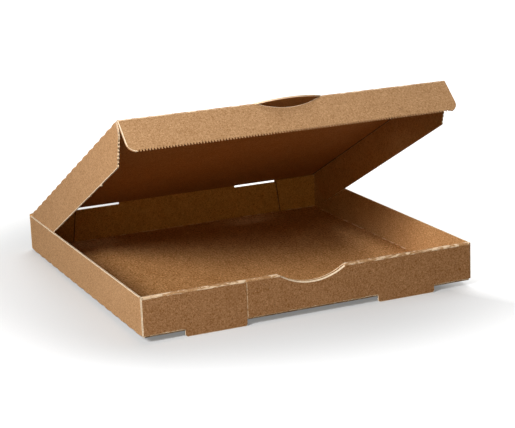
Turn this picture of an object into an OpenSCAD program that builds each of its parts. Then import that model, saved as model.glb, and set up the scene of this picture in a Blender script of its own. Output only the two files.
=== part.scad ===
// Pizza box of plain brown corrugated board, standing open.
// One die-cut sheet is folded into a tray and a lid that swings on the rear crease.
// The front faces -Y. The origin is under the middle of the box, level with the feet.

/* [Box] */
// outer width, from side to side
box_w = 380; // [320:1:420]
// outer depth, from front to rear
box_d = 380; // [340:1:400]
// height of the side walls above the underside of the base
wall_h = 42.5; // [38:0.5:60]
// thickness of the corrugated board
board = 1.6; // [1.2:0.1:1.8]
// outer radius of the folds between the base and the walls
fold_r = 2.2; // [1.8:0.1:4]
// gap between two layers of board that lie side by side
layer_gap = 0.3; // [0.2:0.05:0.6]

/* [Front wall] */
// outer radius of the two folds along the top of the rolled wall
roll_r = 2; // [1.8:0.1:2.6]
// gap between each end of the rolled wall and the side wall
roll_end_gap = 0.5; // [0.3:0.1:2]
// width of the finger notch at the top of the wall
notch_w = 78; // [40:1:120]
// depth of the finger notch
notch_depth = 12.5; // [5:0.5:20]
// distance from the middle of the box to the inner end of a foot
foot_start = 76; // [65:1:90]
// width of a foot
foot_w = 68; // [40:1:75]
// how far the feet reach below the base
foot_drop = 6; // [3:0.5:8]
// radius of the lower corners of a foot
foot_corner = 2.5; // [1:0.5:2.8]
// width of the slit that frees each end of a foot from the fold
foot_slit = 0.6; // [0.3:0.1:1.5]
// length of the corner flap that each side wall tucks into the front wall
front_flap_l = 56; // [30:1:80]
// how much shorter a lock tab is than its slot, at each end
lock_gap = 1; // [0.5:0.5:4]
// free depth of a base slot behind the lock tab
slot_gap = 0.6; // [0.4:0.1:2]
// place of the bruise across the outer panel, from the middle of the box
bruise_x = -75; // [-150:1:-50]
// width of the bruise
bruise_w = 1.6; // [0.6:0.1:3]
// depth of the bruise
bruise_depth = 0.45; // [0.1:0.05:0.8]

/* [Rear wall] */
// length of the corner flap that each side wall tucks behind the rear wall
rear_flap_l = 57; // [30:1:60]
// how much shorter each rear corner flap is at its lower edge
rear_flap_taper = 5; // [0:0.5:10]
// distance from the middle of the box to the inner end of a hinge slot
hinge_slot_start = 77; // [50:1:90]
// length of a hinge slot
hinge_slot_l = 56; // [20:1:60]
// how far a hinge slot reaches down the rear wall from the crease
hinge_slot_drop = 2.6; // [1:0.1:5]
// how far a hinge slot reaches into the lid from its rear edge
hinge_slot_back = 1.2; // [0.5:0.1:4]

/* [Lid] */
// how far the lid stands open
lid_open = 27; // [5:0.5:120]
// gap between the front wall and the front edge of a closed lid
lid_front_gap = 1; // [0.5:0.1:4]
// gap between a closed lid and the top of the side walls
lid_rest_gap = 0.2; // [0.1:0.1:1]
// gap between the lid's side flaps and the side walls
lid_side_gap = 0.75; // [0.5:0.05:2]
// gap between the rounded top of the rear wall and the lid's rear edge
hinge_gap = 0.3; // [0.2:0.05:1]

/* [Lid front flap] */
// gap that the front flap would leave above the base if it were tucked in
tuck_floor_gap = 1.2; // [0.5:0.1:8]
// angle that the front flap is folded down from the lid
tuck_fold = 69; // [40:1:80]
// radius of the lower corners of the front flap
tuck_corner = 12; // [4:1:16]
// how far each end of the front flap is set in from the lid
tuck_inset = 0.5; // [0.2:0.1:4]
// width of the half-moon thumb tab
thumb_w = 76; // [40:1:110]
// how far the thumb tab stands out past the fold, and the depth of its hole
thumb_depth = 10; // [5:0.5:16]
// width of the cut that frees each end of the thumb tab
thumb_cut = 0.4; // [0.2:0.1:1]

/* [Lid side flaps] */
// gap that the side flaps of a closed lid leave above the base
side_floor_gap = 0.7; // [0.4:0.1:4]
// distance from the hinge line to the rear end of a side flap
side_rear = 4; // [4:0.5:40]
// how far the rear edge slants forward down to the lower edge
side_rear_slant = 14; // [5:1:30]
// how far the front edge stands behind the lid's front fold
side_front = 3; // [3:0.5:10]
// depth at which the front edge starts to slant back
shoulder_start = 15; // [12:1:20]
// radius of the shoulder on the front edge
shoulder_r = 10; // [4:1:10]
// how far the front edge slants back below the shoulder
front_slant = 24; // [10:1:30]
// radius of the lower front corner
side_corner = 2.5; // [1:0.5:5]

/* [Hidden] */
$fn = 64;
kraft = "#b98f68";
kraft_lid = "#bc926b";
// length by which a cutting shape stands out past what it cuts
over = 5;
// levels
base_z = foot_drop;
base_top = base_z + board;
wall_top = base_z + wall_h;
layer_z = base_top + layer_gap;
// outer faces of the tray
half_w = box_w / 2;
front_y = -box_d / 2;
rear_y = box_d / 2;
// inner radius of a fold, and the pitch of board layers that lie side by side
fold_in = fold_r - board;
layer = board + layer_gap;
// rolled front wall: outer panel, corner flap and inner panel
roll_depth = 2 * layer + board;
roll_half = half_w - board - roll_end_gap;
notch_r = (notch_w * notch_w / 4 + notch_depth * notch_depth) / (2 * notch_depth);
slot_depth = roll_depth + slot_gap;
// hinge line
hinge_y = rear_y - board / 2;
hinge_z = wall_top + lid_rest_gap + board / 2;
// lid, measured from the hinge line with its skins at plus and minus skin
skin = board / 2;
hinge_clear = board / 2 + hinge_gap;
lid_l = hinge_y - front_y - roll_depth - lid_front_gap;
lid_half = half_w - board - lid_side_gap;
tuck_tangent = fold_r * tan(tuck_fold / 2);
tuck_start = lid_l - tuck_tangent;
tuck_half = lid_half - tuck_inset;
thumb_r = (thumb_w * thumb_w / 4 + thumb_depth * thumb_depth) / (2 * thumb_depth);
tuck_depth = wall_h + lid_rest_gap - tuck_floor_gap;
side_depth = wall_h + lid_rest_gap - side_floor_gap;
side_low = skin - side_depth;
front_u = lid_l - side_front;
shoulder_z = skin - shoulder_start;
slant_angle = atan2(front_slant, shoulder_z - side_low);
shoulder_tangent = shoulder_r * tan(slant_angle / 2);

// rounded rectangle between the corners p and q
module round_rect(p, q, r) {
    translate([p.x + r, p.y]) square([q.x - p.x - 2 * r, q.y - p.y]);
    translate([p.x, p.y + r]) square([q.x - p.x, q.y - p.y - 2 * r]);
    for (x = [p.x + r, q.x - r], y = [p.y + r, q.y - r])
        translate([x, y]) circle(r);
}

// board bent round the inside of a rounded rectangle
module board_loop(p, q, r) {
    difference() {
        round_rect(p, q, r);
        round_rect(p + [board, board], q - [board, board], r - board);
    }
}

// profile in the YZ plane, carried along X to both sides of the middle
module along_x(half) {
    translate([-half, 0, 0]) rotate([90, 0, 90]) linear_extrude(2 * half) children();
}

// outline in the XZ plane, given depth towards +Y from the face at y
module along_y(y, depth) {
    translate([0, y + depth, 0]) rotate([90, 0, 0]) linear_extrude(depth) children();
}

// the same shape on the left and on the right
module both_sides() {
    children();
    mirror([1, 0, 0]) children();
}

// base with its front and rear folds, open where the feet are cut from it
module base_and_folds() {
    difference() {
        along_x(half_w - fold_r) intersection() {
            board_loop([front_y, base_z], [rear_y, wall_top + over], fold_r);
            translate([front_y, base_z]) square([box_d, 2 * fold_r]);
        }
        both_sides()
            translate([foot_start - foot_slit, front_y - over, -over])
                cube([foot_w + 2 * foot_slit, over + slot_depth, base_z + fold_r + over]);
    }
}

// base between the side walls, with the side folds
module side_walls() {
    wall_y = front_y + layer + fold_r;
    along_y(wall_y, -2 * wall_y) intersection() {
        board_loop([-half_w, base_z], [half_w, wall_top + over], fold_r);
        translate([-half_w, base_z]) square([box_w, wall_h]);
    }
}

// side walls with the corner flaps, in plan
module corner_flaps() {
    rear_end = half_w - rear_flap_l;
    difference() {
        translate([0, 0, layer_z]) linear_extrude(wall_top - layer_z) difference() {
            board_loop([-half_w, front_y + layer], [half_w, rear_y - layer], fold_r);
            translate([front_flap_l - half_w, front_y]) square([box_w - 2 * front_flap_l, rear_y]);
        }
        // the rear flaps are longest at the top
        both_sides() along_y(0, rear_y) polygon([
            [-over, wall_top + over],
            [rear_end, wall_top + over],
            [rear_end, wall_top],
            [rear_end + rear_flap_taper, layer_z],
            [rear_end + rear_flap_taper, layer_z - over],
            [-over, layer_z - over]
        ]);
        // the front flaps stop under the top of the rolled wall
        translate([-roll_half - roll_end_gap, front_y, wall_top - layer])
            cube([2 * (roll_half + roll_end_gap), 2 * layer, layer + over]);
    }
}

// outer panel of the front wall with its two feet
module front_panel() {
    difference() {
        along_y(front_y, board) {
            translate([-half_w, base_z + fold_r]) square([box_w, wall_h - fold_r - roll_r]);
            both_sides() {
                translate([half_w - board, base_z + fold_r]) square([board, wall_h - fold_r]);
                round_rect([foot_start, 0], [foot_start + foot_w, base_z + 2 * fold_r + foot_corner], foot_corner);
            }
        }
        translate([bruise_x, front_y, base_z]) linear_extrude(wall_h)
            polygon([[-bruise_w / 2, 0], [bruise_w / 2, 0], [0, bruise_depth]]);
    }
}

// rolled top and inner panel, with lock tabs that stand in the base slots
module front_roll() {
    along_x(roll_half) intersection() {
        board_loop([front_y, base_z - over], [front_y + roll_depth, wall_top], roll_r);
        translate([front_y, layer_z]) square([roll_depth, wall_h]);
    }
    both_sides() along_y(front_y + 2 * layer, board)
        translate([foot_start + lock_gap, base_z]) square([foot_w - 2 * lock_gap, wall_h / 2]);
}

module finger_notch() {
    along_y(front_y - over, roll_depth + 2 * over)
        translate([0, wall_top - notch_depth + notch_r]) circle(notch_r);
}

// rear wall up to the hinge line, which is the rounded top of the wall
module rear_wall() {
    difference() {
        union() {
            along_y(rear_y - board, board)
                translate([-half_w, base_z + fold_r]) square([box_w, hinge_z - base_z - fold_r]);
            along_x(half_w) translate([hinge_y, hinge_z]) circle(board / 2);
        }
        both_sides()
            translate([hinge_slot_start, rear_y - board - over, hinge_z - hinge_slot_drop])
                cube([hinge_slot_l, board + 2 * over, hinge_slot_drop + over]);
    }
}

module tray() {
    color(kraft) {
        difference() {
            union() {
                base_and_folds();
                front_panel();
                front_roll();
            }
            finger_notch();
        }
        // the base slots stay open under the side walls' share of the base
        difference() {
            side_walls();
            both_sides()
                translate([foot_start - foot_slit, front_y, base_z - over])
                    cube([foot_w + 2 * foot_slit, slot_depth, board + 2 * over]);
        }
        corner_flaps();
        rear_wall();
    }
}

// lid in the YZ plane: the panel, and the side flaps below it
module lid_side_outline() {
    corner_u = front_u - front_slant - side_corner * tan(45 - slant_angle / 2);
    translate([-tuck_start, -skin]) square([tuck_start - hinge_clear, board]);
    difference() {
        polygon([
            [-side_rear, skin],
            [-front_u, skin],
            [-front_u, shoulder_z + shoulder_tangent],
            [shoulder_tangent * sin(slant_angle) - front_u, shoulder_z - shoulder_tangent * cos(slant_angle)],
            [front_slant - front_u, side_low],
            [-side_rear - side_rear_slant, side_low]
        ]);
        translate([-corner_u, side_low]) mirror([1, 0]) square([over, side_corner]);
    }
    translate([shoulder_r - front_u, shoulder_z + shoulder_tangent]) circle(shoulder_r);
    translate([-corner_u, side_low + side_corner]) circle(side_corner);
}

// lid panel bent down at both sides
module lid_panel() {
    intersection() {
        along_y(-lid_l, lid_l)
            board_loop([-lid_half, side_low - over], [lid_half, skin], fold_r);
        along_x(lid_half + over) lid_side_outline();
    }
}

// front fold of the lid and the tuck flap, with the half-moon hole
module tuck_flap() {
    difference() {
        translate([0, -tuck_start, skin - fold_r]) {
            // fold, turned about the line at the middle of its bend
            rotate([tuck_fold, 0, 0]) rotate([0, -90, 0])
                translate([0, 0, -tuck_half]) rotate_extrude(angle = tuck_fold)
                    translate([fold_in, 0]) square([board, 2 * tuck_half]);
            // flap, flat past the end of the fold
            rotate([tuck_fold, 0, 0]) translate([0, 0, fold_in]) linear_extrude(board) tuck_outline();
        }
        translate([-thumb_w / 2, -lid_l - over, -over]) cube([thumb_w, tuck_tangent + over, 2 * over]);
    }
}

// tuck flap laid flat, with the end of the fold along the X axis
module tuck_outline() {
    flat_l = tuck_depth - tuck_tangent;
    difference() {
        union() {
            translate([-tuck_half, -flat_l + tuck_corner]) square([2 * tuck_half, flat_l - tuck_corner]);
            round_rect([-tuck_half, -flat_l], [tuck_half, -tuck_tangent], tuck_corner);
        }
        translate([0, tuck_tangent - thumb_depth + thumb_r]) circle(thumb_r);
    }
}

// half-moon tab that stays in the plane of the lid
module thumb_tab() {
    translate([0, 0, -skin]) linear_extrude(board) intersection() {
        translate([0, thumb_r - lid_l - thumb_depth]) circle(thumb_r);
        translate([thumb_cut - thumb_w / 2, -lid_l - thumb_depth - over])
            square([thumb_w - 2 * thumb_cut, thumb_depth + 2 * over]);
    }
}

module lid() {
    color(kraft_lid) translate([0, hinge_y, hinge_z]) rotate([-lid_open, 0, 0]) {
        difference() {
            lid_panel();
            both_sides()
                translate([hinge_slot_start, -hinge_clear - hinge_slot_back, -over])
                    cube([hinge_slot_l, hinge_clear + hinge_slot_back + over, 2 * over]);
        }
        tuck_flap();
        thumb_tab();
    }
}

tray();
lid();
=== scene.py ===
import bpy
import math
from mathutils import Matrix, Vector, noise


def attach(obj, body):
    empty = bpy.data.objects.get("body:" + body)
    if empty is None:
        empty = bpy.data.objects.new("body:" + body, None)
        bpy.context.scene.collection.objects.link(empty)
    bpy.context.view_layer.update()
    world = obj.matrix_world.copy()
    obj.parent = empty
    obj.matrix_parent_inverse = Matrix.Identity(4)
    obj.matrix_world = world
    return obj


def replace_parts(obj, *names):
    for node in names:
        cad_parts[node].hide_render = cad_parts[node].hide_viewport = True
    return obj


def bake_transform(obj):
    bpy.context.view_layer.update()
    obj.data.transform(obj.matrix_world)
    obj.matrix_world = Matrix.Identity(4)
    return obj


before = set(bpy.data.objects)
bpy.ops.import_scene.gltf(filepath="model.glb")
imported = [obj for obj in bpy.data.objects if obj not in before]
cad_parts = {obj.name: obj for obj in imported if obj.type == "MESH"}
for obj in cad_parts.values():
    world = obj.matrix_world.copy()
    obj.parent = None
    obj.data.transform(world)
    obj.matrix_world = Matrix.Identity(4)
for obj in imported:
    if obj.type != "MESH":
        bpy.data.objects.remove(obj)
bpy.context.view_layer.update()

# Sizes of the box in millimetres, as in the part's source
HALF = 190.0  # half of the outer width, and of the outer depth
WALL_H = 42.5  # side walls, above the underside of the base
T = 1.6  # board
R = 2.2  # outer radius of a fold
GAP = 0.3  # between two layers of board
BASE_Z = 6.0  # underside of the base, above the feet
MID = T / 2
EDGE = HALF - R
TOP = BASE_Z + WALL_H
LOW = BASE_Z + R
LAYER = T + GAP
LAYER_Z = BASE_Z + T + GAP
WALL_Y = HALF - LAYER - R

# Front wall
ROLL_R = 2.0  # outer radius of the two folds of the rolled top
ROLL_DEPTH = 2 * LAYER + T
ROLL_END = HALF - T
ROLL_END_GAP = 0.5
ROLL_HALF = ROLL_END - ROLL_END_GAP
NOTCH_W = 78.0
NOTCH_D = 12.5
NOTCH_EDGE = 37.0  # half-width of the notch where the rolled top starts
ROLL_AT_NOTCH = 36.65  # where the rolled top stops beside the notch
FOOT = (76.0, 144.0)
FOOT_CORNER = 2.5
FOOT_SLIT = 0.6
LOCK_GAP = 1.0
SLOT_GAP = 0.6
SLIT = (FOOT[0] - FOOT_SLIT, FOOT[1] + FOOT_SLIT)
LOCK = (FOOT[0] + LOCK_GAP, FOOT[1] - LOCK_GAP)
SLOT_Y = -HALF + ROLL_DEPTH + SLOT_GAP
RUBBED_END = -172.0  # the rolled top is rubbed pale to the left of this
BRUISE_X = -75.0

# Corner flaps of the side walls
FRONT_FLAP_L = 56.0
REAR_FLAP_L = 57.0
FRONT_FLAP_END = HALF - FRONT_FLAP_L
REAR_FLAP_END = HALF - REAR_FLAP_L
REAR_FLAP_TAPER = 5.0
SIDE_FOLD_REACH = 2.6  # how far the base's side folds run on at the rear

# Hinge line and the slots cut across it
HINGE_Y = HALF - MID
LID_REST_GAP = 0.2
HINGE_Z = TOP + LID_REST_GAP + MID
HINGE_SLOT = (77.0, 133.0)
HINGE_SLOT_DROP = 2.6
HINGE_CLEAR = 1.1  # from the hinge line to the lid panel
HINGE_SLOT_BACK = 2.3  # the same at a hinge slot
OPEN = math.radians(27.0)

# Lid, measured from the hinge line
LID_FRONT_GAP = 1.0
LID_SIDE_GAP = 0.75
LID_L = HINGE_Y + HALF - ROLL_DEPTH - LID_FRONT_GAP
LID_HALF = HALF - T - LID_SIDE_GAP
PANEL_X = LID_HALF - R
TUCK_FOLD = math.radians(69.0)
TUCK_TANGENT = R * math.tan(TUCK_FOLD / 2)
TUCK_START = round(LID_L - TUCK_TANGENT, 3)
TUCK_INSET = 0.5
TUCK_FLOOR_GAP = 1.2
TUCK_HALF = LID_HALF - TUCK_INSET
TUCK_FLAT = round(WALL_H + LID_REST_GAP - TUCK_FLOOR_GAP - TUCK_TANGENT, 3)
TUCK_CORNER = 12.0
TUCK_PALE_END = -178.0  # the lower edge is worn pale to the left of this
THUMB_HALF = 38.0
THUMB_TAB_HALF = 37.6
THUMB_D = 10.0
THUMB_R = (THUMB_HALF ** 2 + THUMB_D ** 2) / (2 * THUMB_D)
THUMB_TAB_U = LID_L + THUMB_D - THUMB_R
THUMB_HOLE_W = round(THUMB_D - THUMB_R - TUCK_TANGENT, 1)
HOLE_EDGE = 35.2  # half-width of the thumb hole at the fold
HOLE_STRIP = 35.0  # half-width of the pale strip round the hole

# Side flaps of the lid
SIDE_H = 42.0
SIDE_LOW = MID - SIDE_H
SIDE_TOP = round(MID - R, 3)
SIDE_REAR = 4.0
REAR_SLANT = 14.0
SIDE_SET_BACK = 3.0
SHOULDER_START = 15.0
SIDE_FRONT = LID_L - SIDE_SET_BACK
SHOULDER = MID - SHOULDER_START
SHOULDER_R = 10.0
FRONT_SLANT = 24.0
SIDE_CORNER = 2.5
NICKS = ((238.0, 0.9), (282.0, 1.6))  # distance from the hinge line, and how far the burr stands out
NICK_L = 3.2

# Corrugated board: flutes, papers, and the sampling across the flutes
PITCH = 3.2
LINER = 0.26
MEDIUM = 0.18
STEP = PITCH / 8
WASH = 0.02  # depth of the marks that the flutes leave on the paper
MEDIUM_GIVE = 0.6  # share of a dent that reaches the fluted sheet
MEDIUM_INSET = 0.12
FILL_INSET = 0.4
FILL_END = 0.3
FILL_GAP = 0.02
CAP_W = 0.6
CAP_INSET = 0.02
WIDE_STRIP = 0.5  # a wider strip is crushed below the surface
LEAST_STRIP = 0.12
SCORE_PITCH = 23.2
SIDE_TOOTH = 1.5
SHOULDER_TOOTH = 0.5
TUCK_TOOTH = 2.6

# Tolerances of the mesh
DIGITS = 5
HAIR = 1e-5
SAME_EDGE = 2e-3
CROWDED = 0.3  # a column closer than this share of a step to a cut is left out
SHARP = math.radians(32)
MM = 0.001

# Places of the materials in the list BOARD
(OUT, IN, CORE, FOLD, WORN_IN, CREASE_PAINTED_SHADE, IN_BASE, WORN, IN_REAR_PAINTED_LIGHT, OUT_FRONT_PAINTED_SHADE, IN_LID_PAINTED_SHADE, IN_SIDE_PAINTED_LIGHT,
 OUT_TUCK_PAINTED_SHADE) = range(13)
X, Y, Z = Vector((1, 0, 0)), Vector((0, 1, 0)), Vector((0, 0, 1))


# Mesh building
class Build:
    """Points, faces and material numbers of one piece, in millimetres."""

    def __init__(self):
        self.v, self.f, self.m = [], [], []

    def vert(self, p):
        self.v.append(p)
        return len(self.v) - 1

    def face(self, loop, mat, flip=False):
        self.f.append(loop[::-1] if flip else loop)
        self.m.append(mat)

    def piece(self, name, materials, place=None):
        mesh = bpy.data.meshes.new(name)
        points = [place @ p for p in self.v] if place else self.v
        mesh.from_pydata([p * MM for p in points], [], self.f)
        for m in materials:
            mesh.materials.append(m)
        mesh.polygons.foreach_set("material_index", self.m)
        mesh.polygons.foreach_set("use_smooth", [True] * len(self.f))
        mesh.set_sharp_from_angle(angle=SHARP)
        mesh.update()
        obj = bpy.data.objects.new(name, mesh)
        bpy.context.scene.collection.objects.link(obj)
        return obj


def columns(a0, a1, lo, hi, breaks=(), inset=0.0):
    """Positions across a panel, with its lower and upper edge on either side of each."""
    n = max(1, round((a1 - a0) / STEP))
    cuts = sorted({b for b in breaks if a0 < b < a1})
    spots = [a0 + (a1 - a0) * i / n for i in range(n + 1)]
    spots = [a for a in spots if all(abs(a - b) > CROWDED * STEP for b in cuts)]
    found = []
    for a in sorted(spots + cuts):
        left, right = (a - HAIR, a + HAIR) if a in cuts else (a, a)
        e = [lo(left) + inset, hi(left) - inset, lo(right) + inset, hi(right) - inset]
        for i, j in ((0, 2), (1, 3)):
            if abs(e[i] - e[j]) < SAME_EDGE:
                e[j] = e[i]
        found.append((a, *[round(x, DIGITS) for x in e]))
    return found


def strip_levels(lo, hi, widths):
    """Lower edge of a plate, the inner limits of its two strips, and its upper edge."""
    w0, w1 = [min(w, (hi - lo) / 3) for w in widths]
    low_strip = round(lo + w0, DIGITS) if w0 else lo
    high_strip = round(hi - w1, DIGITS) if w1 else hi
    return [lo, low_strip, high_strip, hi]


def slab_rows(bd, fr, spots, top, bottom, band, drop):
    """Points of a plate: for each column its upper and lower points by level, and its strips."""
    o, a_dir, b_dir, n_dir = fr
    rows = []
    for a, lo_l, hi_l, lo_r, hi_r in spots:
        at = o + a_dir * a
        w = band(a) if band else (0.0, 0.0)
        spans = [strip_levels(lo, hi, w) for lo, hi in ((lo_l, hi_l), (lo_r, hi_r))]
        levels = sorted({b for span in spans for b in span})
        edges = (spans[0][3], spans[1][3])
        sunk = {b: drop if w[1] > WIDE_STRIP and b in edges else 0.0 for b in levels}
        up = {b: bd.vert(at + b_dir * b + n_dir * (top(a) - sunk[b])) for b in levels}
        dn = {b: bd.vert(at + b_dir * b + n_dir * (bottom(a) - sunk[b])) for b in levels}
        rows.append((a, up, dn, spans, levels))
    return rows


def slab(bd, fr, spots, top, bottom, mats, band=None, ends=(0.0, 0.0), band_mats=(CORE, CORE),
         drop=0.0, end_mat=None, stripe=None):
    """Closed plate over the columns, between two surfaces that vary across the panel.
    band gives the width of a strip along the lower and the upper edge, and ends the same at the
    first and the last column. drop is how far the upper edge is crushed below the surface."""
    flip = fr[1].cross(fr[2]).dot(fr[3]) < 0
    m_top, m_bottom, m_edge = mats
    rows = slab_rows(bd, fr, spots, top, bottom, band, drop)
    first, last = rows[0][0], rows[-1][0]
    for (a0, u0, d0, (_, near), v0), (a1, u1, d1, (far, _), v1) in zip(rows, rows[1:]):
        middle = (a0 + a1) / 2
        at_end = middle < first + ends[0] or middle > last - ends[1]
        plain = stripe[2] if stripe and stripe[0] < middle < stripe[1] else None
        for k, mat in ((0, band_mats[0]), (1, plain), (2, band_mats[1])):
            if near[k] == near[k + 1] and far[k] == far[k + 1]:
                continue
            ns = [b for b in v0 if near[k] <= b <= near[k + 1]]
            fs = [b for b in v1 if far[k] <= b <= far[k + 1]]
            pale = mat(middle) if callable(mat) else mat
            if at_end:
                pale = m_edge if end_mat is None else end_mat
            over = m_top if pale is None or m_top == m_edge else pale
            under = m_bottom if pale is None or m_bottom == m_edge else pale
            bd.face([u1[b] for b in fs] + [u0[b] for b in reversed(ns)], over, flip)
            bd.face([d0[b] for b in ns] + [d1[b] for b in reversed(fs)], under, flip)
        bd.face([u0[near[0]], d0[near[0]], d1[far[0]], u1[far[0]]], m_edge, flip)
        bd.face([u1[far[3]], d1[far[3]], d0[near[3]], u0[near[3]]], m_edge, flip)
    # steps in the outline
    for _, up, dn, (left, right), v in rows[1:-1]:
        for p, q, lower in ((left[0], right[0], True), (left[3], right[3], False)):
            if p != q:
                w = [b for b in v if min(p, q) <= b <= max(p, q)]
                loop = [up[w[0]]] + [dn[b] for b in w] + [up[b] for b in reversed(w[1:])]
                bd.face(loop, m_edge, flip != ((q > p) != lower))
    # first and last column
    for (_, up, dn, spans, v), side, turn in ((rows[0], 1, not flip), (rows[-1], 0, flip)):
        w = [b for b in v if spans[side][0] <= b <= spans[side][3]]
        bd.face([up[b] for b in w] + [dn[b] for b in reversed(w)], m_edge, turn)


def panel(bd, fr, a0, a1, lo, hi, breaks=(), caps=(True, True), press=None, band=None,
          band_mats=(CORE, CORE), mats=(OUT, IN), worn_end=0.6, edge=CORE, drop=0.0, soft=0.0,
          inside=None, stripe=None, core_hi=None, strips=(1, 1), end_mat=None):
    """Corrugated panel: two papers, the fluted sheet between them, and crushed cut edges.
    The pale strips are on the outer paper; inside gives the strips of the inner paper."""
    cut = [a for a, c in zip((a0, a1), caps) if c]
    edges = (edge, edge, edge)

    def behind(a):
        if core_hi:
            return core_hi(a)
        strip = band(a)[1] if drop else 0.0
        return hi(a) - (strip if strip > WIDE_STRIP else 0.0)

    def dent(a):
        pressed = press(a) if press else 0.0
        return pressed + soft * max([0.0] + [1 - abs(a - c) / worn_end for c in cut])

    def ripple(a):
        return WASH * (math.cos(2 * math.pi * a / PITCH) - 1)

    def wave(a):
        reach = T / 2 - LINER - MEDIUM / 2
        return reach * math.cos(2 * math.pi * a / PITCH) - MEDIUM_GIVE * dent(a)

    # outer paper, then inner paper
    ends = [worn_end * k if c else 0.0 for c, k in zip(caps, strips)]
    slab(bd, fr, columns(a0, a1, lo, hi, breaks),
         lambda a: T / 2 + ripple(a) - dent(a), lambda a: T / 2 - LINER - dent(a),
         (mats[0], edge, edge), band, ends, band_mats, drop, end_mat, stripe)
    slab(bd, fr, columns(a0, a1, lo, core_hi or hi, breaks),
         lambda a: LINER - T / 2, lambda a: -T / 2 - ripple(a),
         (edge, mats[1], edge), **(inside or {}))
    # fluted sheet, what closes it behind the edges, and the crushed ends
    slab(bd, fr, columns(a0, a1, lo, behind, breaks, MEDIUM_INSET),
         lambda a: wave(a) + MEDIUM / 2, lambda a: wave(a) - MEDIUM / 2, edges)
    slab(bd, fr, columns(a0 + FILL_END, a1 - FILL_END, lo, behind, breaks, FILL_INSET),
         lambda a: T / 2 - LINER - FILL_GAP - dent(a), lambda a: LINER - T / 2 + FILL_GAP, edges)
    for on, (c0, c1) in zip(caps, ((a0, a0 + CAP_W), (a1 - CAP_W, a1))):
        if on:
            slab(bd, fr, columns(c0, c1, lo, behind, breaks, CAP_INSET),
                 lambda a: T / 2 - LINER, lambda a: LINER - T / 2, edges)


def sweep(bd, rings, mats):
    """Board carried along a fold: each ring is its outer line of points, then its inner line."""
    m_out, m_in, m_edge = mats
    ids = [([bd.vert(p) for p in outside], [bd.vert(p) for p in within]) for outside, within in rings]
    for (o0, i0), (o1, i1) in zip(ids, ids[1:]):
        for k in range(len(o0) - 1):
            bd.face([o0[k], o1[k], o1[k + 1], o0[k + 1]], m_out)
            bd.face([i0[k], i0[k + 1], i1[k + 1], i1[k]], m_in)
        bd.face([o0[0], i0[0], i1[0], o1[0]], m_edge)
        bd.face([o0[-1], o1[-1], i1[-1], i0[-1]], m_edge)
    for (o, i), back in ((ids[0], False), (ids[-1], True)):
        for k in range(len(o) - 1):
            bd.face([o[k], o[k + 1], i[k + 1], i[k]], m_edge, back)


def stations(s0, s1, step):
    """Evenly spaced places along a fold, about a step apart."""
    n = max(1, round((s1 - s0) / step))
    return [s0 + (s1 - s0) * i / n for i in range(n + 1)]


def bend(bd, centre, along, e1, e2, spots, radius, angle, mats=(FOLD, IN, CORE), bump=None, segments=7):
    """Fold about the line through centre, from e1 turning towards e2, with the board outside."""
    turn = e1.cross(e2).dot(along) < 0
    rings = []
    for s in (reversed(spots) if turn else spots):
        outside, within = [], []
        for k in range(segments + 1):
            f = angle * k / segments
            d = e1 * math.cos(f) + e2 * math.sin(f)
            b = bump(s) * math.sin(math.pi * k / segments) if bump else 0.0
            outside.append(centre + along * s + d * (radius + b))
            within.append(centre + along * s + d * (radius - T + b))
        rings.append((outside, within))
    sweep(bd, rings, mats)


def crumple(seed, size=0.16, grain=5.0):
    """Uneven swelling along a fold, with a trace of the flutes."""
    sink, flute = 0.45, 0.03

    def swell(s):
        uneven = noise.noise(Vector((s / grain, seed, 0.3)))
        return size * (uneven - sink) + flute * math.cos(2 * math.pi * s / PITCH)
    return swell


def scored(size):
    """Fold cut through at intervals: it bulges between the cuts."""
    mean = 0.62
    return lambda s: size * (abs(math.sin(math.pi * s / SCORE_PITCH)) - mean)


def tooth(a):
    """Depth of the cut edge between the teeth, from 0 to 1."""
    return min(1.0, max(0.0, abs((a / PITCH) % 1.0 - 0.5) * 4 - 0.5))


def ragged(a, seed, size, share=0.0, grain=6.0):
    """Width of a torn pale strip: it comes and goes along the edge."""
    coarse = noise.noise(Vector((a / grain, seed, 0.7)))
    n = coarse + 0.5 * noise.noise(Vector((a / grain * 2.7, seed, 3.1)))
    return max(LEAST_STRIP, size * (n + share))


def between(x, span):
    return span[0] < abs(x) < span[1]


def mirrored(*values):
    return [s * v for v in values for s in (-1, 1)]


# Materials
class Graph:
    """Node tree of one material."""

    def __init__(self, name):
        self.mat = bpy.data.materials.new(name)
        self.mat.use_nodes = True
        self.tree = self.mat.node_tree
        self.tree.nodes.clear()

    def add(self, kind, sockets=None, **props):
        node = self.tree.nodes.new(kind)
        for k, v in props.items():
            setattr(node, k, v)
        for k, v in (sockets or {}).items():
            if isinstance(v, bpy.types.NodeSocket):
                self.tree.links.new(v, node.inputs[k])
            else:
                node.inputs[k].default_value = v
        return node

    def math(self, op, a, b=0.0, c=0.0):
        return self.add("ShaderNodeMath", {0: a, 1: b, 2: c}, operation=op).outputs[0]

    def ramp(self, value, low, high, to_low=0.0, to_high=1.0):
        return self.add("ShaderNodeMapRange", {0: value, 1: low, 2: high, 3: to_low, 4: to_high},
                        interpolation_type="SMOOTHSTEP").outputs[0]

    def noise(self, where, scale, detail=3.0, rough=0.6, twist=0.0):
        return self.add("ShaderNodeTexNoise", {"Vector": where, "Scale": scale, "Detail": detail,
                                               "Roughness": rough, "Distortion": twist}).outputs[0]

    def mix(self, factor, a, b, blend="MIX"):
        return self.add("ShaderNodeMix", {0: factor, 6: a, 7: b}, data_type="RGBA",
                        blend_type=blend).outputs[2]


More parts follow.
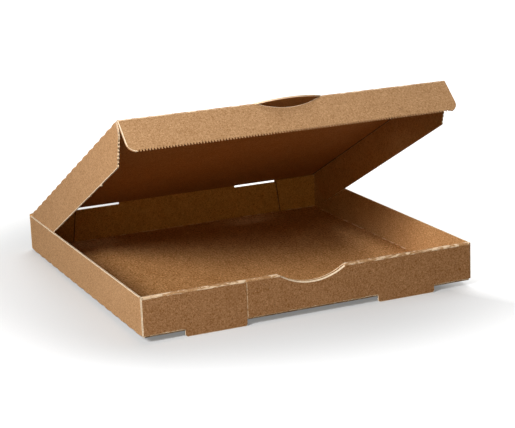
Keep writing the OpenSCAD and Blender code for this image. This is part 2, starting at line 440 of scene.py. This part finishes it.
# Scales of the paper's noises, per metre, and how strongly each one shows
CURL_SCALE, FINE_SCALE, CLOUD_SCALE, BROAD_SCALE = 620.0, 1500.0, 55.0, 9.0
SPECK_SCALE, HAIR_SCALE = 430.0, 900.0
CURL_GAIN, FINE_GAIN, CLOUD_GAIN, BROAD_GAIN = 7.0, 4.0, 1.1, 0.10
MOTTLE_SHIFT = (0.11, 0.07, 0.05)  # keeps the mottle off the curls' own centre
TONE_POWER = -0.42  # evens the grain out between red, green and blue
SPECK_SHARE, HAIR_SHARE = 0.55, 0.35
BUMP_STRENGTH, BUMP_DISTANCE = 0.35, 0.00025
SHEEN = 0.22
GRAIN, COARSE_GRAIN = 640.0, 380.0


def kraft(name, colour, dark, pale, fibre=0.2, wear=None, rough=0.86, grain=(COARSE_GRAIN, 1.1),
          stretch=None):
    """Kraft paper: curled fibres, soft clouds, dark specks, and worn pale patches where wear is given."""
    g = Graph(name)
    where = g.add("ShaderNodeTexCoord").outputs["Object"]
    if stretch:
        where = g.add("ShaderNodeMapping", {"Vector": where, "Scale": stretch}).outputs[0]
    curls = g.noise(where, CURL_SCALE, 3.0, 0.62, 1.1)
    fine = g.noise(where, FINE_SCALE, 2.0, 0.55, 0.6)
    cloud = g.noise(where, CLOUD_SCALE, 3.0, 0.55)
    broad = g.noise(where, BROAD_SCALE, 2.0, 0.5)
    apart = g.add("ShaderNodeMapping", {"Vector": where, "Location": MOTTLE_SHIFT}).outputs[0]
    mottle = g.noise(apart, grain[0], 2.0, 0.6, 0.8)
    gains = ((curls, fibre * CURL_GAIN), (fine, fibre * FINE_GAIN), (mottle, grain[1]),
             (cloud, fibre * CLOUD_GAIN), (broad, BROAD_GAIN))
    swing = 0.0
    for part, size in gains:
        swing = g.math("MULTIPLY_ADD", g.math("SUBTRACT", part, 0.5), size, swing)
    tones = {i: g.math("MULTIPLY_ADD", swing, (c / colour[1]) ** TONE_POWER, 1.0)
             for i, c in enumerate(colour)}
    col = g.mix(1.0, (*colour, 1), g.add("ShaderNodeCombineColor", tones).outputs[0], "MULTIPLY")
    speck = g.ramp(g.noise(where, SPECK_SCALE, 2.0, 0.5, 0.3), 0.66, 0.74, 0.0, SPECK_SHARE)
    col = g.mix(speck, col, (*dark, 1))
    hair = g.ramp(g.noise(where, HAIR_SCALE, 2.0, 0.5, 2.5), 0.64, 0.74, 0.0, HAIR_SHARE)
    col = g.mix(hair, col, (*pale, 1))
    height = g.math("MULTIPLY_ADD", curls, 0.6, g.math("MULTIPLY", fine, 0.4))
    roughness = g.ramp(curls, 0.3, 0.7, rough - 0.1, min(1.0, rough + 0.08))
    if wear:
        worn_share = wear(g, where)
        col = g.mix(worn_share, col, (*pale, 1))
        height = g.math("MULTIPLY_ADD", worn_share, 0.8, height)
    bump = g.add("ShaderNodeBump", {"Strength": BUMP_STRENGTH, "Distance": BUMP_DISTANCE,
                                    "Height": height}).outputs[0]
    bsdf = g.add("ShaderNodeBsdfPrincipled", {"Base Color": col, "Roughness": roughness, "Normal": bump,
                                              "Specular IOR Level": SHEEN})
    g.tree.links.new(bsdf.outputs[0], g.add("ShaderNodeOutputMaterial").inputs[0])
    return g.mat


def fold_wear(g, where):
    """Broken pale patches along a fold."""
    drawn_out = g.add("ShaderNodeMapping", {"Vector": where, "Scale": (0.22, 0.22, 1.0)}).outputs[0]
    patch = g.ramp(g.noise(drawn_out, 420.0, 4.0, 0.65, 0.6), 0.48, 0.56)
    return g.math("MULTIPLY", patch, 0.95)


def rubbed(g, where):
    """Paper rubbed pale nearly everywhere."""
    return g.ramp(g.noise(where, 300.0, 3.0, 0.6, 0.6), 0.28, 0.52, 0.25, 0.95)


# Colours of the paper; the panels' own tones follow the contrast of the photograph and are painted shade and
# light: the front wall, the tuck flap and the lid's underside are darker, the inner rear and side walls
# lighter
KRAFT = (0.500, 0.277, 0.130)
# painted shade: the front wall's outer paper is a darker, redder copy of the outer paper
KRAFT_FRONT_PAINTED_SHADE = (0.448, 0.221, 0.094)
# painted shade: the tuck flap's outer paper is a darker copy of the outer paper
KRAFT_TUCK_PAINTED_SHADE = (0.455, 0.257, 0.122)
KRAFT_IN = (0.500, 0.247, 0.087)
# painted light: the inner paper of the rear wall and its corner flaps is a lighter, yellower copy of the
# inner paper
KRAFT_REAR_PAINTED_LIGHT = (0.585, 0.310, 0.095)
# painted shade: the lid's underside is a darker, redder copy of the inner paper
KRAFT_LID_PAINTED_SHADE = (0.430, 0.182, 0.046)
# painted light: the side walls' inner paper is a lighter, less red copy of the inner paper
KRAFT_SIDE_PAINTED_LIGHT = (0.505, 0.268, 0.108)
DARK = (0.150, 0.070, 0.028)
PALE = (0.840, 0.610, 0.405)
PALE_IN = (0.560, 0.330, 0.160)
PALE_FOLD = (0.930, 0.715, 0.500)
PALE_FOLD_IN = (0.76, 0.52, 0.31)
RAW, RAW_DARK, RAW_PALE = (0.975, 0.785, 0.575), (0.46, 0.28, 0.15), (0.97, 0.84, 0.66)
# painted shade: the crease paper is the inner paper dimmed to this share, for the shadow in creases and gaps
CREASE_SHADE = 0.35

outer = kraft("kraft_outer", KRAFT, DARK, PALE, fibre=0.2, grain=(GRAIN, 1.5))
inner = kraft("kraft_inner", KRAFT_IN, DARK, PALE_IN, fibre=0.24, grain=(GRAIN, 1.6))
core = kraft("board_core", RAW, RAW_DARK, RAW_PALE, fibre=0.12, rough=0.92, grain=(COARSE_GRAIN, 0.3))
fold = kraft("kraft_fold", KRAFT, DARK, PALE_FOLD, wear=fold_wear)
worn_in = kraft("kraft_inner_fold", KRAFT_IN, DARK, PALE_FOLD_IN, fibre=0.3, wear=fold_wear)
crease_painted_shade = kraft("kraft_inner_crease_painted_shade", [CREASE_SHADE * c for c in KRAFT_IN], DARK, KRAFT_IN, fibre=0.3)
inner_base = kraft("kraft_inner_base", KRAFT_IN, DARK, PALE_IN, fibre=0.38, grain=(GRAIN, 2.6),
                   stretch=(1.0, 0.6, 1.0))
inner_rear_painted_light = kraft("kraft_inner_rear_painted_light", KRAFT_REAR_PAINTED_LIGHT, DARK, PALE_IN, fibre=0.22, grain=(GRAIN, 1.4))
worn = kraft("kraft_rubbed", KRAFT, DARK, PALE, wear=rubbed)
outer_front_painted_shade = kraft("kraft_outer_front_painted_shade", KRAFT_FRONT_PAINTED_SHADE, DARK, PALE, fibre=0.24, grain=(GRAIN, 1.9))
inner_lid_painted_shade = kraft("kraft_inner_lid_painted_shade", KRAFT_LID_PAINTED_SHADE, DARK, PALE_IN, fibre=0.24, grain=(GRAIN, 1.6))
outer_tuck_painted_shade = kraft("kraft_outer_tuck_painted_shade", KRAFT_TUCK_PAINTED_SHADE, DARK, PALE, fibre=0.2, grain=(GRAIN, 1.5))
inner_side_painted_light = kraft("kraft_inner_side_painted_light", KRAFT_SIDE_PAINTED_LIGHT, DARK, PALE_IN, fibre=0.24, grain=(GRAIN, 1.9))
BOARD = [outer, inner, core, fold, worn_in, crease_painted_shade, inner_base, worn, inner_rear_painted_light, outer_front_painted_shade,
         inner_lid_painted_shade, inner_side_painted_light, outer_tuck_painted_shade]


# Base with its folds
def make_base():
    base = Build()
    worn_rear = dict(ends=(0.0, 1.0), end_mat=WORN_IN, band=lambda a: (0.0, 0.9),
                     band_mats=(WORN_IN, WORN_IN))
    panel(base, (Vector((0, 0, BASE_Z + MID)), X, Y, -Z), -EDGE, EDGE,
          lambda a: SLOT_Y if between(a, SLIT) else -EDGE, lambda a: EDGE, mirrored(*SLIT), (False, False),
          mats=(OUT, IN_BASE), inside=worn_rear)
    for x0, x1 in ((-EDGE, -SLIT[1]), (-SLIT[0], SLIT[0]), (SLIT[1], EDGE)):
        bend(base, Vector((0, -EDGE, LOW)), X, -Z, -Y, stations(x0, x1, 0.8), R, math.pi / 2,
             bump=crumple(1.7, 0.2))
    bend(base, Vector((0, EDGE, LOW)), X, -Z, Y, stations(-EDGE, EDGE, 0.8), R, math.pi / 2,
         mats=(FOLD, WORN_IN, CORE), bump=crumple(4.1, 0.1))
    for s in (-1, 1):
        bend(base, Vector((s * EDGE, 0, LOW)), Y, -Z, s * X, stations(-WALL_Y, WALL_Y + SIDE_FOLD_REACH, 2.0),
             R, math.pi / 2, mats=(OUT, WORN_IN, CORE), bump=scored(0.9))
    return base


# Front wall: outer panel with the feet, inner panel with the lock tabs, rolled top
def notch_z(x):
    """Height of the finger notch's edge, and far above the box beside the notch."""
    r = (NOTCH_W * NOTCH_W / 4 + NOTCH_D * NOTCH_D) / (2 * NOTCH_D)
    return TOP - NOTCH_D + r - math.sqrt(r * r - x * x) if abs(x) < NOTCH_W / 2 else 1e3


def foot_low(x):
    """Lower edge of the outer panel, with the round corners of the feet."""
    if not between(x, FOOT):
        return LOW
    d = min(abs(x) - FOOT[0], FOOT[1] - abs(x))
    if d >= FOOT_CORNER:
        return 0.0
    return FOOT_CORNER - math.sqrt(max(0.0, FOOT_CORNER ** 2 - (FOOT_CORNER - d) ** 2))


def front_high(x):
    return TOP if abs(x) > ROLL_END else roll_start(x)


def roll_start(x):
    return min(TOP - ROLL_R, notch_z(x))


def bruise(a):
    depth, reach = 0.12, 0.8
    return depth * max(0.0, 1 - abs(a - BRUISE_X) / reach)


def front_strips(a):
    """Widths of the pale strips along the lower and the upper edge of the outer panel."""
    lower = 0.3 if between(a, FOOT) else ragged(a, 2.2, 1.5, -0.1, 9.0)
    upper = 1.3 if abs(a) < NOTCH_EDGE else min(0.5, ragged(a, 5.6, 1.4, 0.5))
    return lower, upper


crush = crumple(11.9, 0.5, 4.0)


def roll_line(x, r, give, dip):
    """Line of points at x over the two folds of the rolled top, at radius r.
    give is the share of the crushing that the outer fold takes, dip the share of the bruise."""
    steps, depth, reach = 5, 0.15, 1.2
    points = []
    for c, start, soft in ((-HALF + ROLL_R, 180.0, give), (-HALF + ROLL_DEPTH - ROLL_R, 90.0, 0.0)):
        for k in range(steps + 1):
            f = math.radians(start - 90.0 * k / steps)
            dent = min(0.0, crush(x)) * math.sin(math.pi * k / steps) * soft
            dent -= depth * max(0.0, 1 - abs(x - BRUISE_X) / reach) * dip
            z = TOP - ROLL_R + (r + dent) * math.sin(f)
            points.append(Vector((x, c + (r + dent) * math.cos(f), min(z, notch_z(x)))))
    return points


def make_front_wall():
    front = Build()
    bruise_cuts = [BRUISE_X + d for d in (-0.8, -0.5, 0.0, 0.3, 0.8)]
    # the front wall's outer paper is the darker copy of the outer paper: painted shade
    panel(front, (Vector((0, -HALF + MID, 0)), X, Z, -Y), -HALF, HALF, foot_low, front_high,
          mirrored(*FOOT, ROLL_END, NOTCH_EDGE) + bruise_cuts, press=bruise, band=front_strips,
          band_mats=(CORE, lambda a: CORE if abs(a) < NOTCH_EDGE else FOLD), mats=(OUT_FRONT_PAINTED_SHADE, IN),
          worn_end=1.3, drop=1.0, soft=0.7, stripe=(BRUISE_X - 0.5, BRUISE_X + 0.3, FOLD), strips=(1, 0))
    panel(front, (Vector((0, -HALF + 2 * LAYER + MID, 0)), X, Z, Y), -ROLL_HALF, ROLL_HALF,
          lambda x: BASE_Z if between(x, LOCK) else LAYER_Z, roll_start, mirrored(*LOCK),
          band=lambda a: (0.0, 0.9 if abs(a) < NOTCH_EDGE else 0.0))
    stretches = ((-ROLL_HALF, RUBBED_END, WORN), (RUBBED_END, -ROLL_AT_NOTCH, FOLD),
                 (ROLL_AT_NOTCH, ROLL_HALF, FOLD))
    for x0, x1, skin in stretches:
        rings = [(roll_line(x, ROLL_R, 1.0, 1.0), roll_line(x, ROLL_R - T, 0.5, 0.2))
                 for x in stations(x0, x1, 0.8)]
        sweep(front, rings, (skin, IN, CORE))
    return front


# Side walls with their corner flaps
def make_side_walls():
    sides = Build()
    # the rear corner flaps take the rear wall's lighter inner paper: painted light
    flap_kinds = ((-1, FRONT_FLAP_END, 0.0, TOP - LAYER, IN),
                  (1, REAR_FLAP_END, REAR_FLAP_TAPER, TOP, IN_REAR_PAINTED_LIGHT))
    # painted shade: a dark strip along the free edge and the foot of each corner flap's inner paper
    fold_painted_shade = dict(band=lambda z: (0.0, 1.3), band_mats=(CREASE_PAINTED_SHADE, CREASE_PAINTED_SHADE), ends=(0.8, 0.0))
    for s in (-1, 1):
        # the side walls' inner paper is the lighter copy of the inner paper: painted light
        panel(sides, (Vector((s * (HALF - MID), 0, 0)), Z, Y, s * X), LOW, TOP,
              lambda z: -WALL_Y, lambda z: WALL_Y, caps=(False, True), mats=(OUT, IN_SIDE_PAINTED_LIGHT), soft=0.35)
        for e, flap_end, taper, top, paper in flap_kinds:
            corner = Vector((s * EDGE, e * WALL_Y, 0))
            bend(sides, corner, Z, s * X, e * Y, stations(LAYER_Z, top, 2.0), R, math.pi / 2,
                 mats=(OUT, IN, CORE))
            panel(sides, (Vector((0, e * (WALL_Y + R - MID), 0)), Z, -s * X, e * Y), LAYER_Z, top,
                  lambda z: -EDGE, lambda z: -flap_end - taper * (TOP - z) / (TOP - LAYER_Z),
                  mats=(OUT, paper), edge=WORN_IN, inside=fold_painted_shade)
        bend(sides, Vector((s * EDGE, -WALL_Y, 0)), Z, s * X, -Y, stations(TOP - LAYER + 0.05, TOP, 2.0), R,
             math.radians(50), mats=(OUT, IN, CORE))
    return sides


# Stretches of the rear crease between the hinge slots
def hinge_stretches(half):
    return (-half, -HINGE_SLOT[1]), (-HINGE_SLOT[0], HINGE_SLOT[0]), (HINGE_SLOT[1], half)


# Rear wall up to the hinge crease
def make_rear_wall():
    rear = Build()
    steps = 10
    # the rear wall's inner paper is the lighter copy of the inner paper: painted light
    panel(rear, (Vector((0, HINGE_Y, 0)), X, Z, Y), -HALF, HALF, lambda x: LOW,
          lambda x: HINGE_Z - HINGE_SLOT_DROP if between(x, HINGE_SLOT) else HINGE_Z, mirrored(*HINGE_SLOT),
          mats=(OUT, IN_REAR_PAINTED_LIGHT))
    turns = [math.pi * k / steps for k in range(steps + 1)]
    for x0, x1 in hinge_stretches(HALF):
        rings = []
        for x in stations(x0, x1, 1.6):
            arc = [Vector((x, HINGE_Y - MID * math.cos(f), HINGE_Z + MID * math.sin(f))) for f in turns]
            flat = [Vector((x, HINGE_Y - MID * math.cos(f), HINGE_Z)) for f in turns]
            rings.append((arc, flat))
        sweep(rear, rings, (FOLD, CORE, CORE))
    return rear


# Lid, built flat about the hinge line and turned to its rest pose
REST = Matrix.Translation((0, HINGE_Y, HINGE_Z)) @ Matrix.Rotation(-OPEN, 4, "X")
U, V = -Y, Z


def lid_front(x):
    """Front edge of the lid panel, with the half-moon thumb tab."""
    return THUMB_TAB_U + math.sqrt(THUMB_R ** 2 - x * x) if abs(x) < THUMB_TAB_HALF else TUCK_START


def make_lid_panel():
    lid_top = Build()
    # the lid's underside is the darker copy of the inner paper: painted shade
    panel(lid_top, (Vector((0, 0, 0)), X, U, V), -PANEL_X, PANEL_X,
          lambda x: HINGE_SLOT_BACK if between(x, HINGE_SLOT) else HINGE_CLEAR, lid_front,
          mirrored(*HINGE_SLOT, THUMB_TAB_HALF), (False, False), mats=(OUT, IN_LID_PAINTED_SHADE),
          # painted shade: dark strips on the underside along both side folds
          inside=dict(ends=(1.0, 1.0), end_mat=CREASE_PAINTED_SHADE))
    for s in (-1, 1):
        c = Vector((s * PANEL_X, 0, SIDE_TOP))
        # the inner side of the lid's side folds is darkened: painted shade
        bend(lid_top, c, U, V, s * X, stations(SIDE_REAR, SIDE_FRONT, 1.2), R, math.pi / 2,
             mats=(OUT, CREASE_PAINTED_SHADE, CORE), bump=scored(1.25))
        # the fold runs on past both ends of the side flap
        for u0, u1 in ((HINGE_CLEAR, SIDE_REAR - 0.1), (SIDE_FRONT + 0.1, TUCK_START)):
            bend(lid_top, c, U, V, s * X, stations(u0, u1, 2.0), R, math.radians(55), mats=(OUT, IN, CORE),
                 segments=4)
    return lid_top


# Side flaps of the lid
def flap_rear(v):
    return SIDE_REAR + REAR_SLANT * (MID - v) / SIDE_H


def flap_front(v):
    """Front edge of a side flap: straight, a rounded shoulder, a toothed slant, and the lower corner."""
    slant = math.atan2(FRONT_SLANT, SHOULDER - SIDE_LOW)
    t = SHOULDER_R * math.tan(slant / 2)
    if v > SHOULDER + t:
        return SIDE_FRONT
    if v > SHOULDER - t * math.cos(slant):
        bow = math.sqrt(max(0.0, SHOULDER_R ** 2 - (v - SHOULDER - t) ** 2))
        return SIDE_FRONT - SHOULDER_R + bow - SHOULDER_TOOTH * tooth(v)
    line = SIDE_FRONT - (SHOULDER - v) * math.tan(slant)
    c_u = SIDE_FRONT - FRONT_SLANT - SIDE_CORNER * math.tan(math.pi / 4 - slant / 2)
    c_v = SIDE_LOW + SIDE_CORNER
    if v > c_v - SIDE_CORNER * math.sin(slant):
        return line - SIDE_TOOTH * tooth(v)
    return c_u + math.sqrt(max(0.0, SIDE_CORNER ** 2 - (v - c_v) ** 2))


def make_side_flaps():
    flaps = Build()
    for s in (-1, 1):
        panel(flaps, (Vector((s * (LID_HALF - MID), 0, 0)), V, U, s * X), SIDE_LOW, SIDE_TOP,
              flap_rear, flap_front, caps=(True, False), band=lambda a: (0.4, 0.6),
              inside=dict(ends=(0.0, 0.5), end_mat=WORN_IN))
    # burrs at the nicks on the lower edge of the left flap
    steps = 6
    for u, size in NICKS:
        rings = []
        for k in range(steps + 1):
            d = size * math.sin(math.pi * k / steps) + 0.02
            at = Vector((-LID_HALF, -u + NICK_L / 2 - NICK_L * k / steps, SIDE_LOW + 0.05))
            rings.append(([at, at - Z * d], [at + X * T, at + X * T - Z * d]))
        sweep(flaps, rings, (CORE, CORE, CORE))
    return flaps


# Front tuck flap of the lid
def tuck_low(x):
    """Edge of the flap at the fold, with the thumb hole."""
    return max(0.0, THUMB_HOLE_W + math.sqrt(THUMB_R ** 2 - x * x)) if abs(x) < THUMB_HALF else 0.0


def tuck_high(x, cut=None):
    """Toothed free edge of the flap; cut sets one depth of cut for the whole edge."""
    d = abs(x) - (TUCK_HALF - TUCK_CORNER)
    end = TUCK_FLAT
    if d > 0:
        end = TUCK_FLAT - TUCK_CORNER + math.sqrt(max(0.0, TUCK_CORNER ** 2 - d * d))
    return end - TUCK_TOOTH * (tooth(x) if cut is None else cut) * min(1.0, max(0.0, (4 - d) / 4))


def make_tuck_flap():
    tuck = Build()
    centre = Vector((0, -TUCK_START, SIDE_TOP))
    down = U * math.cos(TUCK_FOLD) - V * math.sin(TUCK_FOLD)
    outward = U * math.sin(TUCK_FOLD) + V * math.cos(TUCK_FOLD)
    for x0, x1 in ((-TUCK_HALF, -THUMB_HALF), (THUMB_HALF, TUCK_HALF)):
        bend(tuck, centre, X, V, U, stations(x0, x1, 0.8), R, TUCK_FOLD, bump=crumple(15.2, 0.12))
    # the tuck flap's outer paper is the darker copy of the outer paper: painted shade
    panel(tuck, (centre + outward * (R - MID), X, down, outward), -TUCK_HALF, TUCK_HALF, tuck_low, tuck_high,
          mirrored(HOLE_EDGE), mats=(OUT_TUCK_PAINTED_SHADE, IN),
          band=lambda a: (0.4 if abs(a) < HOLE_STRIP else ragged(a, 8.8, 0.5, 0.2), 0.9),
          band_mats=(CORE, lambda a: CORE if a < TUCK_PALE_END else OUT_TUCK_PAINTED_SHADE), edge=OUT, worn_end=1.0,
          strips=(1, 0), end_mat=CORE, core_hi=lambda x: tuck_high(x, 0.95))
    return tuck


# Outer paper that runs over the hinge crease
n_lid, u_lid = (REST.to_3x3() @ V), (REST.to_3x3() @ U)


def make_crease_paper():
    crease = Build()
    steps = 8
    for x0, x1 in hinge_stretches(HALF - 2.3):
        rings = []
        for x in stations(x0, x1, 1.6):
            c = Vector((x, HINGE_Y, HINGE_Z))
            lines = []
            for r in (0.95, 0.82):
                points = [c + Y * r - Z * d for d in (2.0, 1.3, 0.6)]
                for k in range(steps + 1):
                    f = (math.pi / 2 - OPEN) * k / steps
                    points.append(c + (Y * math.cos(f) + Z * math.sin(f)) * r)
                points += [c + n_lid * r + u_lid * d for d in (0.7, 1.5, 2.2)]
                lines.append(points)
            rings.append(tuple(lines))
        sweep(crease, list(reversed(rings)), (FOLD, IN, CORE))
    return crease


# Pieces, each on the body that it moves with
base, front, sides, rear = make_base(), make_front_wall(), make_side_walls(), make_rear_wall()
lid_top, flaps, tuck, crease = make_lid_panel(), make_side_flaps(), make_tuck_flap(), make_crease_paper()
for bd, name in ((base, "tray_base"), (front, "tray_front_wall"), (sides, "tray_side_walls"),
                 (rear, "tray_rear_wall")):
    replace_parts(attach(bd.piece(name, BOARD), "tray"), "tray")
for bd, name in ((lid_top, "lid_panel"), (flaps, "lid_side_flaps"), (tuck, "lid_tuck_flap")):
    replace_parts(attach(bd.piece(name, BOARD, REST), "lid"), "lid")
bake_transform(crease.piece("hinge_crease_paper", BOARD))

# Floor, light and camera, in metres
scene = bpy.context.scene
FLOOR_REACH = 8
FLOOR_CLEAR = 0.0002
FLOOR_RISE = 0.006  # from the feet at the front to the underside of the base at the rear
BOX_HALF = HALF * MM


def floor_material():
    """Pale floor that keeps the shadow: seen rays get a lift to white, and it bounces little light. The lift
    is weaker near the box, which paints shade round it, and strong on the right, which paints light over the
    box's shadow there.
    """
    g = Graph("floor_white")
    path = g.add("ShaderNodeLightPath").outputs
    other = g.math("MAXIMUM", path["Is Glossy Ray"], path["Is Transmission Ray"])
    seen = g.math("MAXIMUM", path["Is Camera Ray"], other)
    soft = g.add("ShaderNodeBsdfDiffuse", {"Color": (0.595, 0.605, 0.62, 1)}).outputs[0]
    on_floor = g.add("ShaderNodeTexCoord").outputs["Object"]
    across = g.add("ShaderNodeVectorMath", {0: on_floor, 1: (0.90, 0.25, 0.0)},
                   operation="DOT_PRODUCT").outputs["Value"]
    away = g.add("ShaderNodeVectorMath", {0: on_floor}, operation="LENGTH").outputs["Value"]
    # painted shade near the box, and painted light on the right that hides the box's shadow
    glow_painted_shade_near_box = g.ramp(away, 0.25, 0.48, 0.20, 0.75)
    glow_washing_out_shadow_right = g.ramp(across, 0.06, 0.18, 0.0, 0.95)
    lift = g.math("MAXIMUM", glow_painted_shade_near_box, glow_washing_out_shadow_right)
    glow = g.add("ShaderNodeEmission", {"Color": (1, 1, 1, 1), "Strength": lift}).outputs[0]
    shown = g.add("ShaderNodeAddShader", {0: soft, 1: glow}).outputs[0]
    plain = g.add("ShaderNodeBsdfDiffuse", {"Color": (0.07, 0.07, 0.07, 1)}).outputs[0]
    mixed = g.add("ShaderNodeMixShader", {0: seen, 1: plain, 2: shown}).outputs[0]
    g.tree.links.new(mixed, g.add("ShaderNodeOutputMaterial").inputs[0])
    return g.mat


def make_floor():
    """Large plane on which the box stands: it touches the feet and the rear of the base."""
    mesh = bpy.data.meshes.new("floor")
    corners = [(s * FLOOR_REACH, t * FLOOR_REACH) for s, t in ((-1, -1), (1, -1), (1, 1), (-1, 1))]
    mesh.from_pydata([(x, y, FLOOR_RISE * (y + BOX_HALF) / (2 * BOX_HALF) - FLOOR_CLEAR) for x, y in corners],
                     [], [(0, 1, 2, 3)])
    obj = bpy.data.objects.new("floor", mesh)
    scene.collection.objects.link(obj)
    mesh.materials.append(floor_material())
    return obj


floor = make_floor()


def make_world():
    """White where it is seen, and a faint warm fill for everything else."""
    world = bpy.data.worlds.new("studio")
    scene.world = world
    world.use_nodes = True
    tree = world.node_tree
    tree.nodes.clear()
    path = tree.nodes.new("ShaderNodeLightPath").outputs
    strength = tree.nodes.new("ShaderNodeMapRange")
    strength.inputs[3].default_value = 0.03
    strength.inputs[4].default_value = 1.0
    background = tree.nodes.new("ShaderNodeBackground")
    tint = tree.nodes.new("ShaderNodeMix")
    tint.data_type = "RGBA"
    tint.inputs[6].default_value = (1.0, 0.76, 0.25, 1)
    tint.inputs[7].default_value = (1, 1, 1, 1)
    out = tree.nodes.new("ShaderNodeOutputWorld")
    seen = path["Is Camera Ray"]
    for ray in ("Is Glossy Ray", "Is Transmission Ray"):
        either = tree.nodes.new("ShaderNodeMath")
        either.operation = "MAXIMUM"
        tree.links.new(seen, either.inputs[0])
        tree.links.new(path[ray], either.inputs[1])
        seen = either.outputs[0]
    tree.links.new(seen, strength.inputs[0])
    tree.links.new(seen, tint.inputs[0])
    tree.links.new(tint.outputs[2], background.inputs[0])
    tree.links.new(strength.outputs[0], background.inputs[1])
    tree.links.new(background.outputs[0], out.inputs[0])


make_world()


def sun(name, toward, level, spread, colour=(1.0, 1.0, 1.0)):
    """Distant soft lamp: at level 1 it lights a face turned to it so that its colour renders as written."""
    lamp = bpy.data.lights.new(name, "SUN")
    lamp.energy, lamp.angle, lamp.color = level * math.pi, math.radians(spread), colour
    obj = bpy.data.objects.new(name, lamp)
    obj.rotation_mode = "QUATERNION"
    obj.rotation_quaternion = Vector(toward).to_track_quat("Z", "Y")
    obj.location = Vector(toward).normalized() * 2
    scene.collection.objects.link(obj)


def area(name, at, aim, size, watts):
    """Square lamp at a place, turned to the point that it is aimed at."""
    lamp = bpy.data.lights.new(name, "AREA")
    lamp.energy, lamp.shape, lamp.size = watts, "SQUARE", size
    obj = bpy.data.objects.new(name, lamp)
    obj.location = at
    obj.rotation_mode = "QUATERNION"
    obj.rotation_quaternion = (Vector(at) - Vector(aim)).to_track_quat("Z", "Y")
    scene.collection.objects.link(obj)


WARM = (1.0, 0.76, 0.30)
area("key_left", at=(-1.381, -0.846, 1.02), aim=(1.0, -1.0, 0.0), size=0.55, watts=39.5)
sun("low_front", toward=(-0.48, -0.85, 0.27), level=0.100, spread=40, colour=WARM)
sun("top_back", toward=(0.30, 0.35, 0.89), level=0.46, spread=40)

# Camera at the photograph's viewing angle
CAMERA_AT = (-0.6924, -1.6168, 0.5219)
AZIMUTH, ELEVATION, ROLL = math.radians(-23.897), math.radians(14.584), math.radians(-2.237)
SENSOR = 36.0
PHOTO_W = 515.0  # pixels
FOCAL = 1600.0  # pixels


def make_camera():
    """Camera turned by its azimuth and elevation, and rolled about its own axis."""
    back = Vector((math.sin(AZIMUTH) * math.cos(ELEVATION), -math.cos(AZIMUTH) * math.cos(ELEVATION),
                   math.sin(ELEVATION)))
    level = (-back).cross(Z).normalized()
    upright = level.cross(-back)
    right = level * math.cos(ROLL) + upright * math.sin(ROLL)
    up = upright * math.cos(ROLL) - level * math.sin(ROLL)
    data = bpy.data.cameras.new("camera")
    data.sensor_width = SENSOR
    data.lens = FOCAL / PHOTO_W * SENSOR
    data.clip_end = 50
    cam = bpy.data.objects.new("camera", data)
    rows = [(right[i], up[i], back[i], CAMERA_AT[i]) for i in range(3)]
    cam.matrix_world = Matrix((*rows, (0, 0, 0, 1)))
    scene.collection.objects.link(cam)
    scene.camera = cam


make_camera()
scene.view_settings.view_transform = "Standard"
